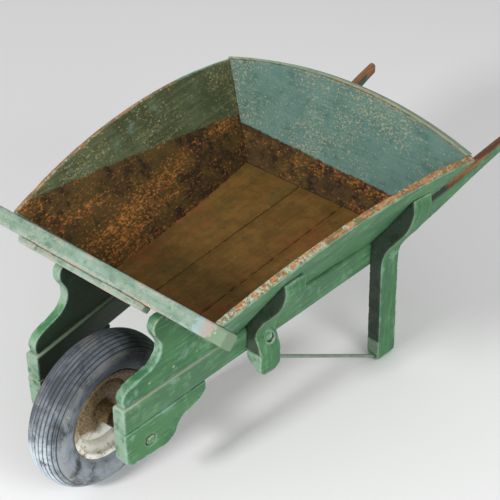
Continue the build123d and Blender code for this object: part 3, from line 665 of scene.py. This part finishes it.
# directions along, across and through a board
def boardAxes(points, along):
    spread = points - points.mean(axis=0)
    directions = np.linalg.eigh(spread.T @ spread)[1][:, ::-1].T
    if along is not None:
        first = np.array(along) / np.linalg.norm(along)
        third = directions[2] - first * (directions[2] @ first)
        third /= np.linalg.norm(third)
        directions = np.array([first, np.cross(third, first), third])
    return directions


# painted shade: inner faces painted darker as the shade between the parts, or front faces above a height painted
# darker as the cast shadow of the parts in front; both darker than the light alone leaves them
def paintedShadeMask(points, outward, dim):
    if dim is None:
        return np.zeros(len(points))
    if dim == "inner":
        return np.clip(-outward[:, 0] * np.sign(points[:, 0]) * 4 - 2.4, 0, 1)
    return np.clip(-outward[:, 1] * 4 - 2.4, 0, 1) * np.clip((points[:, 2] - dim) / (4 * mm), 0, 1)


# more wear along a seam: 'foot' or 'head' arrises, on the outer face only
def lostPaint(points, local, distance, loss):
    if loss is None:
        return np.zeros(len(points))
    height, amount = loss
    outer = np.clip((np.abs(points[:, 0]) - shaftFace(points[:, 1])) / (4 * mm) + 1, 0, 1)
    line = height(points[:, 1])
    calm = np.hypot(points[:, 1] - axleCentre.y, points[:, 2] - axleCentre.z) < 26 * mm
    return amount * outer * np.exp(-((points[:, 2] - line) / (5 * mm)) ** 2) - calm * 0.6


# rebuilds a CAD board as worn timber: rounded and chipped arrises, and shallow dents
def carve(node, finish, voxel=None, along=None, wear=1.0, dim=None, loss=None, shortest=0.0):
    voxel = voxel or boardCut["voxel"]
    bm = cleaned(nodes[node].data)
    tree = BVHTree.FromBMesh(bm)
    corners = arrisPoints(bm, shortest)
    finder = KDTree(len(corners))
    for i, point in enumerate(corners):
        finder.insert(point, i)
    finder.balance()
    mesh = remeshed("weathered_" + node, bm, voxel)
    bm.free()
    points = coordinates(mesh)
    distance = np.array([finder.find(p)[2] for p in points.tolist()])
    flat = distance > boardCut["rounding"] * voxel
    onFace = np.array([tuple(tree.find_nearest(p)[0]) for p in points.tolist()])
    points = np.where(flat[:, None], onFace, points)
    edges = np.empty(len(mesh.edges) * 2, np.int64)
    mesh.edges.foreach_get("vertices", edges)
    edges = edges.reshape(-1, 2)
    points = relaxed(points, edges, ~flat, boardCut["smoothing"])
    mesh.vertices.foreach_set("co", points.ravel())
    mesh.update()
    outward = normals(mesh)
    seed = zlib.crc32(node.encode()) % 9973
    axes = boardAxes(points, along)
    local = (points - points.mean(axis=0)) @ axes.T
    near = np.clip(1 - distance / boardCut["arrisReach"], 0, 1)
    ragged = lumps(points, 14 * mm, seed) * 0.6 + lumps(points, 5 * mm, seed + 1) * 0.4
    chip = near ** 2 * np.clip(ragged - 0.1, 0, 1) * boardCut["chipDepth"] * wear * 2
    dent = np.clip(lumps(points, 45 * mm, seed + 2), 0, 1) ** 2 * boardCut["dentDepth"] * wear
    ripple = np.clip(lumps(local * np.array([0.12, 1, 1]), 7 * mm, seed + 3), 0, 1) * 0.25 * mm * wear
    points = points - outward * (chip + dent + ripple)[:, None]
    mesh.vertices.foreach_set("co", points.ravel())
    mesh.update()
    storeVector(mesh, "grain", local + seed % 17)
    storeNumber(mesh, "arris", near)
    storeNumber(mesh, "top", np.clip((outward[:, 2] - 0.62) * 6, 0, 1))
    # the painted shade mask
    storeNumber(mesh, "shade", paintedShadeMask(points, outward, dim))
    storeNumber(mesh, "loss", lostPaint(points, local, distance, loss))
    # how far each face looks to the front, for the paler paint and painted highlight there
    storeNumber(mesh, "front", np.clip(-outward[:, 1] * 1.6 - 0.5, 0, 1))
    toLoad = np.array(loadCentre) - points
    toLoad /= np.linalg.norm(toLoad, axis=1)[:, None]
    storeNumber(mesh, "inside", np.clip((outward * toLoad).sum(axis=1) * 2.5, 0, 1))
    mesh.shade_smooth()
    mesh.materials.append(finishes[finish])
    piece = bpy.data.objects.new("weathered_" + node, mesh)
    bpy.context.scene.collection.objects.link(piece)
    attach(piece, "frame")
    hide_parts(node)
    return piece


shaftRun = (0.0, 1.0, 0.063)
seam = {"height": 324 * mm, "rise": 0.063, "halfSpread": 163 * mm, "splay": 0.075, "shaftDepth": 70 * mm}


def seamHeight(y):
    return seam["height"] + seam["rise"] * (y - axleCentre.y)


def lowerSeamHeight(y):
    return seamHeight(y) - seam["shaftDepth"]


def shaftFace(y):
    return seam["halfSpread"] + seam["splay"] * (y - axleCentre.y)


boards = {
    "front_rail": {"finish": "rail", "wear": 1.2},
    "under_cleat": {"finish": "rail", "voxel": 2.2 * mm},
    "back_board": {"finish": "back"},
    "headboard_upper": {"finish": "head"},
    "headboard_lower": {"finish": "head"},
    "floor_plank_right": {"finish": "floor", "wear": 0.6, "shortest": 12 * mm},
    "floor_plank_middle": {"finish": "floor", "wear": 0.6, "shortest": 12 * mm},
    "floor_plank_left": {"finish": "floor", "wear": 0.6, "shortest": 12 * mm},
    "floor_bearer_front": {"finish": "bare"},
    "floor_bearer_middle": {"finish": "bare"},
    "floor_bearer_rear": {"finish": "bare"},
}
# 'dim' places the painted shade: 'inner' faces, or front faces above the given height as a painted cast shadow
pairs = {
    "shaft": {"finish": "shaft", "voxel": 2.6 * mm, "dim": "inner", "loss": (seamHeight, 0.45)},
    "side_board": {"finish": "side", "wear": 1.3},
    "upper_cheek": {"finish": "green", "voxel": 2.2 * mm, "along": shaftRun, "dim": "inner",
                    "loss": (seamHeight, 0.2)},
    "lower_cheek": {"finish": "green", "voxel": 2.2 * mm, "along": shaftRun, "dim": "inner",
                    "loss": (lowerSeamHeight, -0.4)},
    "headboard_cleat": {"finish": "bare"},
    "front_bracket": {"finish": "green", "voxel": 2.2 * mm, "along": (0.0, 0.0, 1.0), "dim": 0.285},
    "rear_leg": {"finish": "green", "voxel": 2.2 * mm, "along": (0.0, 0.0, 1.0), "dim": 0.065},
}
for node, look in boards.items():
    carve(node, **look)
for name, look in pairs.items():
    for hand in ("left", "right"):
        carve(name + "_" + hand, **look)
print("boards carved:", len(boards) + 2 * len(pairs))


# tyre, rim and disc, turned about the axle
# a closed section of (across, radius) points turned about the axle
def turnedPiece(name, profile, steps, finish, node, attributes=None, closed=True):
    count = len(profile)
    angles = np.arange(steps) * 2 * math.pi / steps
    across = np.array([p[0] for p in profile])
    radius = np.array([p[1] for p in profile])
    points = np.empty((steps, count, 3))
    points[:, :, 0] = across
    points[:, :, 1] = radius * np.sin(angles)[:, None] + axleCentre.y
    points[:, :, 2] = radius * np.cos(angles)[:, None] + axleCentre.z
    faces = []
    for i in range(steps):
        nextRow = (i + 1) % steps
        for j in range(count):
            nextPoint = (j + 1) % count
            faces.append((i * count + j, nextRow * count + j, nextRow * count + nextPoint,
                          i * count + nextPoint))
    mesh = bpy.data.meshes.new(name)
    mesh.from_pydata(points.reshape(-1, 3).tolist(), [], faces)
    mesh.update()
    bm = bmesh.new()
    bm.from_mesh(mesh)
    bmesh.ops.recalc_face_normals(bm, faces=bm.faces)
    bm.to_mesh(mesh)
    bm.free()
    run = np.concatenate([[0.0], np.cumsum(np.hypot(np.diff(across), np.diff(radius)))])
    skin = np.zeros((steps, count, 3))
    skin[:, :, 0] = run
    skin[:, :, 1] = (angles * radius.max())[:, None]
    storeVector(mesh, "skin", skin.reshape(-1, 3))
    for key, values in (attributes or {}).items():
        storeNumber(mesh, key, np.tile(np.array(values), steps))
    mesh.shade_smooth()
    mesh.materials.append(finishes[finish])
    piece = bpy.data.objects.new(name, mesh)
    bpy.context.scene.collection.objects.link(piece)
    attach(piece, "wheel")
    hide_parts(node)
    return piece


tyreShape = {
    "points": 400, "steps": 240, "wall": 9 * mm, "beadRadius": 103 * mm, "seat": 34.3 * mm,
    "treadHalfAngle": 60.0, "ribPitch": 10.5 * mm, "ribDepth": 2.2 * mm, "ribSharpness": 0.74,
    "sideLinePitch": 4.2 * mm, "sideLineDepth": 0.6 * mm, "sideLineHalfAngle": 80.0, "inset": 0.15 * mm,
    "beadAngle": 142.0, "innerPoints": 36,
}


def tyrePiece():
    low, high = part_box("tyre")
    t = tyreShape
    half = (high.x - low.x) / 2 - t["inset"]
    outer = (high.z - low.z) / 2 - t["inset"]
    belly = (outer + t["beadRadius"]) / 2
    rise = outer - belly
    profile, groove, line = [], [], []
    run = 0.0
    last = None
    lowest = t["beadAngle"]
    for i in range(t["points"]):
        share = i / (t["points"] - 1)
        angle = math.radians(-lowest + 2 * lowest * share)
        x = half * math.sin(angle)
        r = belly + rise * math.cos(angle)
        if last is not None:
            run += math.hypot(x - last[0], r - last[1])
        last = (x, r)
        cut = 0.0
        turn = abs(math.degrees(angle))
        if turn < t["treadHalfAngle"]:
            wave = 0.5 - 0.5 * math.cos(2 * math.pi * run / t["ribPitch"])
            cut = t["ribDepth"] * max(0.0, wave - t["ribSharpness"]) / (1 - t["ribSharpness"])
        elif turn < t["sideLineHalfAngle"]:
            cut = t["sideLineDepth"] * (0.5 - 0.5 * math.cos(2 * math.pi * run / t["sideLinePitch"]))
        groove.append(min(1.0, cut / t["ribDepth"]))
        line.append(cut / t["sideLineDepth"] if t["treadHalfAngle"] <= turn < t["sideLineHalfAngle"] else 0.0)
        profile.append((x - cut * math.sin(angle), r - cut * math.cos(angle)))
    inner = []
    steps = t["innerPoints"]
    for i in range(steps):
        share = i / (steps - 1)
        angle = math.radians(lowest - 2 * lowest * share)
        x = (half - t["wall"]) * math.sin(angle)
        r = belly + (rise - t["wall"]) * math.cos(angle)
        inner.append((x, r))
    toes = [(t["seat"], t["beadRadius"] + 2 * mm), (t["seat"] - 1 * mm, t["beadRadius"] + 0.2 * mm),
            (t["seat"] - t["wall"], t["beadRadius"] + 0.2 * mm)]
    otherToes = [(-x, r) for x, r in reversed(toes)]
    whole = profile + toes + inner + otherToes
    rest = [0.0] * (len(toes) + len(inner) + len(otherToes))
    return turnedPiece("ribbed_tyre", whole, t["steps"], "tyre", "tyre",
                       {"groove": groove + rest, "line": line + rest})


tyrePiece()

rimShape = {
    "steps": 160, "seat": 101.3 * mm, "well": 81.3 * mm,
    "wellHalf": 17 * mm, "flank": 23 * mm, "wall": 3.0 * mm,
}


# rounds a line's corners by cutting them, again and again
def smoothLine(points, rounds):
    for _ in range(rounds):
        cut = [points[0]]
        for a, b in zip(points, points[1:]):
            cut.append((a[0] * 0.75 + b[0] * 0.25, a[1] * 0.75 + b[1] * 0.25))
            cut.append((a[0] * 0.25 + b[0] * 0.75, a[1] * 0.25 + b[1] * 0.75))
        cut.append(points[-1])
        points = cut
    return points


# both faces of a bent sheet, from the line down its middle
def sheetSection(line, wall):
    upper, lower = [], []
    for i, (x, r) in enumerate(line):
        a = line[max(i - 1, 0)]
        b = line[min(i + 1, len(line) - 1)]
        length = math.hypot(b[0] - a[0], b[1] - a[1])
        nx, nr = -(b[1] - a[1]) / length, (b[0] - a[0]) / length
        upper.append((x + nx * wall / 2, r + nr * wall / 2))
        lower.append((x - nx * wall / 2, r - nr * wall / 2))
    return upper + lower[::-1]


def rimPiece():
    low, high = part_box("wheel_rim")
    s = rimShape
    half = (high.x - low.x) / 2 - s["wall"] / 2 - 0.1 * mm
    lip = (high.z - low.z) / 2 - s["wall"] / 2 - 0.1 * mm
    side = [(half, lip), (half, lip - 4 * mm), (half, s["seat"]), (s["flank"], s["seat"]),
            (s["wellHalf"], s["well"]), (0.0, s["well"])]
    line = side[::-1]
    line = [(-x, r) for x, r in side] + line[1:]
    section = sheetSection(smoothLine(line, 3), s["wall"])
    return turnedPiece("pressed_rim", section, s["steps"], "rim", "wheel_rim")


rimPiece()

discShape = {"steps": 120, "points": 28, "wall": 3.0 * mm, "offset": 6 * mm, "dish": 12 * mm, "hub": 24 * mm}


def discPiece():
    low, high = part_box("wheel_disc")
    s = discShape
    edge = (high.z - low.z) / 2 - 0.1 * mm
    span = edge - s["hub"]
    line = []
    count = s["points"]
    for i in range(count + 1):
        share = i / count
        bulge = math.sin(math.pi * share)
        bead = 0.9 * mm * math.exp(-((share - 0.82) / 0.05) ** 2)
        line.append((s["offset"] + s["dish"] * 0.93 * bulge + bead, s["hub"] + span * share))
    section = sheetSection(line, s["wall"])
    return turnedPiece("dished_disc", section, s["steps"], "disc", "wheel_disc")


discPiece()
print("wheel turned")


# metal pieces that keep their CAD shape
kept = {
    "inner_tube": "tube", "wheel_hub": "hub", "hub_bushes": "bronze", "valve_stem": "bronze",
    "axle": "axle", "axle_washers": "axle", "axle_spacer_left": "axle", "axle_spacer_right": "axle",
    "iron_stay_left": "stay", "iron_stay_right": "stay", "bracket_bolts": "bolt", "leg_bolts": "bolt",
    "cheek_nails": "nail", "side_board_nails": "nail", "rail_nails": "nail", "floor_nails": "floorNail",
    "back_cap_strip": "cap",
}
for node, finish in kept.items():
    mesh = nodes[node].data
    mesh.materials.clear()
    mesh.materials.append(finishes[finish])
print("kept nodes finished:", len(kept))


# stage, light and camera
studio = {
    "floorSize": 14.0, "paper": "#e2e2e2",
    "keyAzimuth": -3.0, "keyElevation": 27.0, "keyDistance": 5.0, "keySize": 0.8, "keyPower": 178.0,
    "fillAzimuth": 80.0, "fillElevation": 26.0, "fillDistance": 5.0, "fillSize": 2.8, "fillPower": 110.0,
    "worldStrength": 0.6, "aimHeight": 0.3,
}


def studioPaper():
    p = Paint("studioPaper")
    return p.finish(tint(studio["paper"]), 0.9)


floorMesh = bpy.data.meshes.new("studioFloor")
reach = studio["floorSize"]
floorMesh.from_pydata([(-reach, -reach, 0), (reach, -reach, 0), (reach, reach, 0), (-reach, reach, 0)], [],
                      [(0, 1, 2, 3)])
floorMesh.materials.append(studioPaper())
floor = bpy.data.objects.new("studioFloor", floorMesh)
bpy.context.scene.collection.objects.link(floor)


def direction(azimuth, elevation):
    a, e = math.radians(azimuth), math.radians(elevation)
    return Vector((math.sin(a) * math.cos(e), -math.cos(a) * math.cos(e), math.sin(e)))


def softLight(name, azimuth, elevation, distance, size, power):
    data = bpy.data.lights.new(name, "AREA")
    data.shape = "DISK"
    data.size = size
    data.energy = power
    lamp = bpy.data.objects.new(name, data)
    aim = direction(azimuth, elevation)
    lamp.location = Vector((0, 0, studio["aimHeight"])) + aim * distance
    lamp.rotation_euler = aim.to_track_quat("Z", "Y").to_euler()
    bpy.context.scene.collection.objects.link(lamp)


s = studio
softLight("keyLight", s["keyAzimuth"], s["keyElevation"], s["keyDistance"], s["keySize"], s["keyPower"])
softLight("fillLight", s["fillAzimuth"], s["fillElevation"], s["fillDistance"], s["fillSize"], s["fillPower"])

world = bpy.data.worlds.new("studioWorld")
world.use_nodes = True
world.node_tree.nodes["Background"].inputs["Color"].default_value = (1, 1, 1, 1)
world.node_tree.nodes["Background"].inputs["Strength"].default_value = studio["worldStrength"]
bpy.context.scene.world = world
bpy.context.scene.view_settings.view_transform = "Standard"

view = {
    "place": (1.7362, -2.1151, 2.2523), "azimuth": 38.920, "elevation": 35.274, "roll": 1.405,
    "lens": 95.555, "shiftX": -0.0509, "shiftY": 0.0052, "sensor": 36.0,
}
cameraData = bpy.data.cameras.new("camera")
cameraData.lens = view["lens"]
cameraData.sensor_width = view["sensor"]
cameraData.shift_x = view["shiftX"]
cameraData.shift_y = view["shiftY"]
camera = bpy.data.objects.new("camera", cameraData)
back = direction(view["azimuth"], view["elevation"])
level = Vector((math.cos(math.radians(view["azimuth"])), math.sin(math.radians(view["azimuth"])), 0))
upward = back.cross(level)
roll = math.radians(view["roll"])
right = level * math.cos(roll) + upward * math.sin(roll)
top = upward * math.cos(roll) - level * math.sin(roll)
turn = Matrix((right, top, back)).transposed()
camera.matrix_world = Matrix.Translation(Vector(view["place"])) @ turn.to_4x4()
bpy.context.scene.collection.objects.link(camera)
bpy.context.scene.camera = camera
print("stage set")
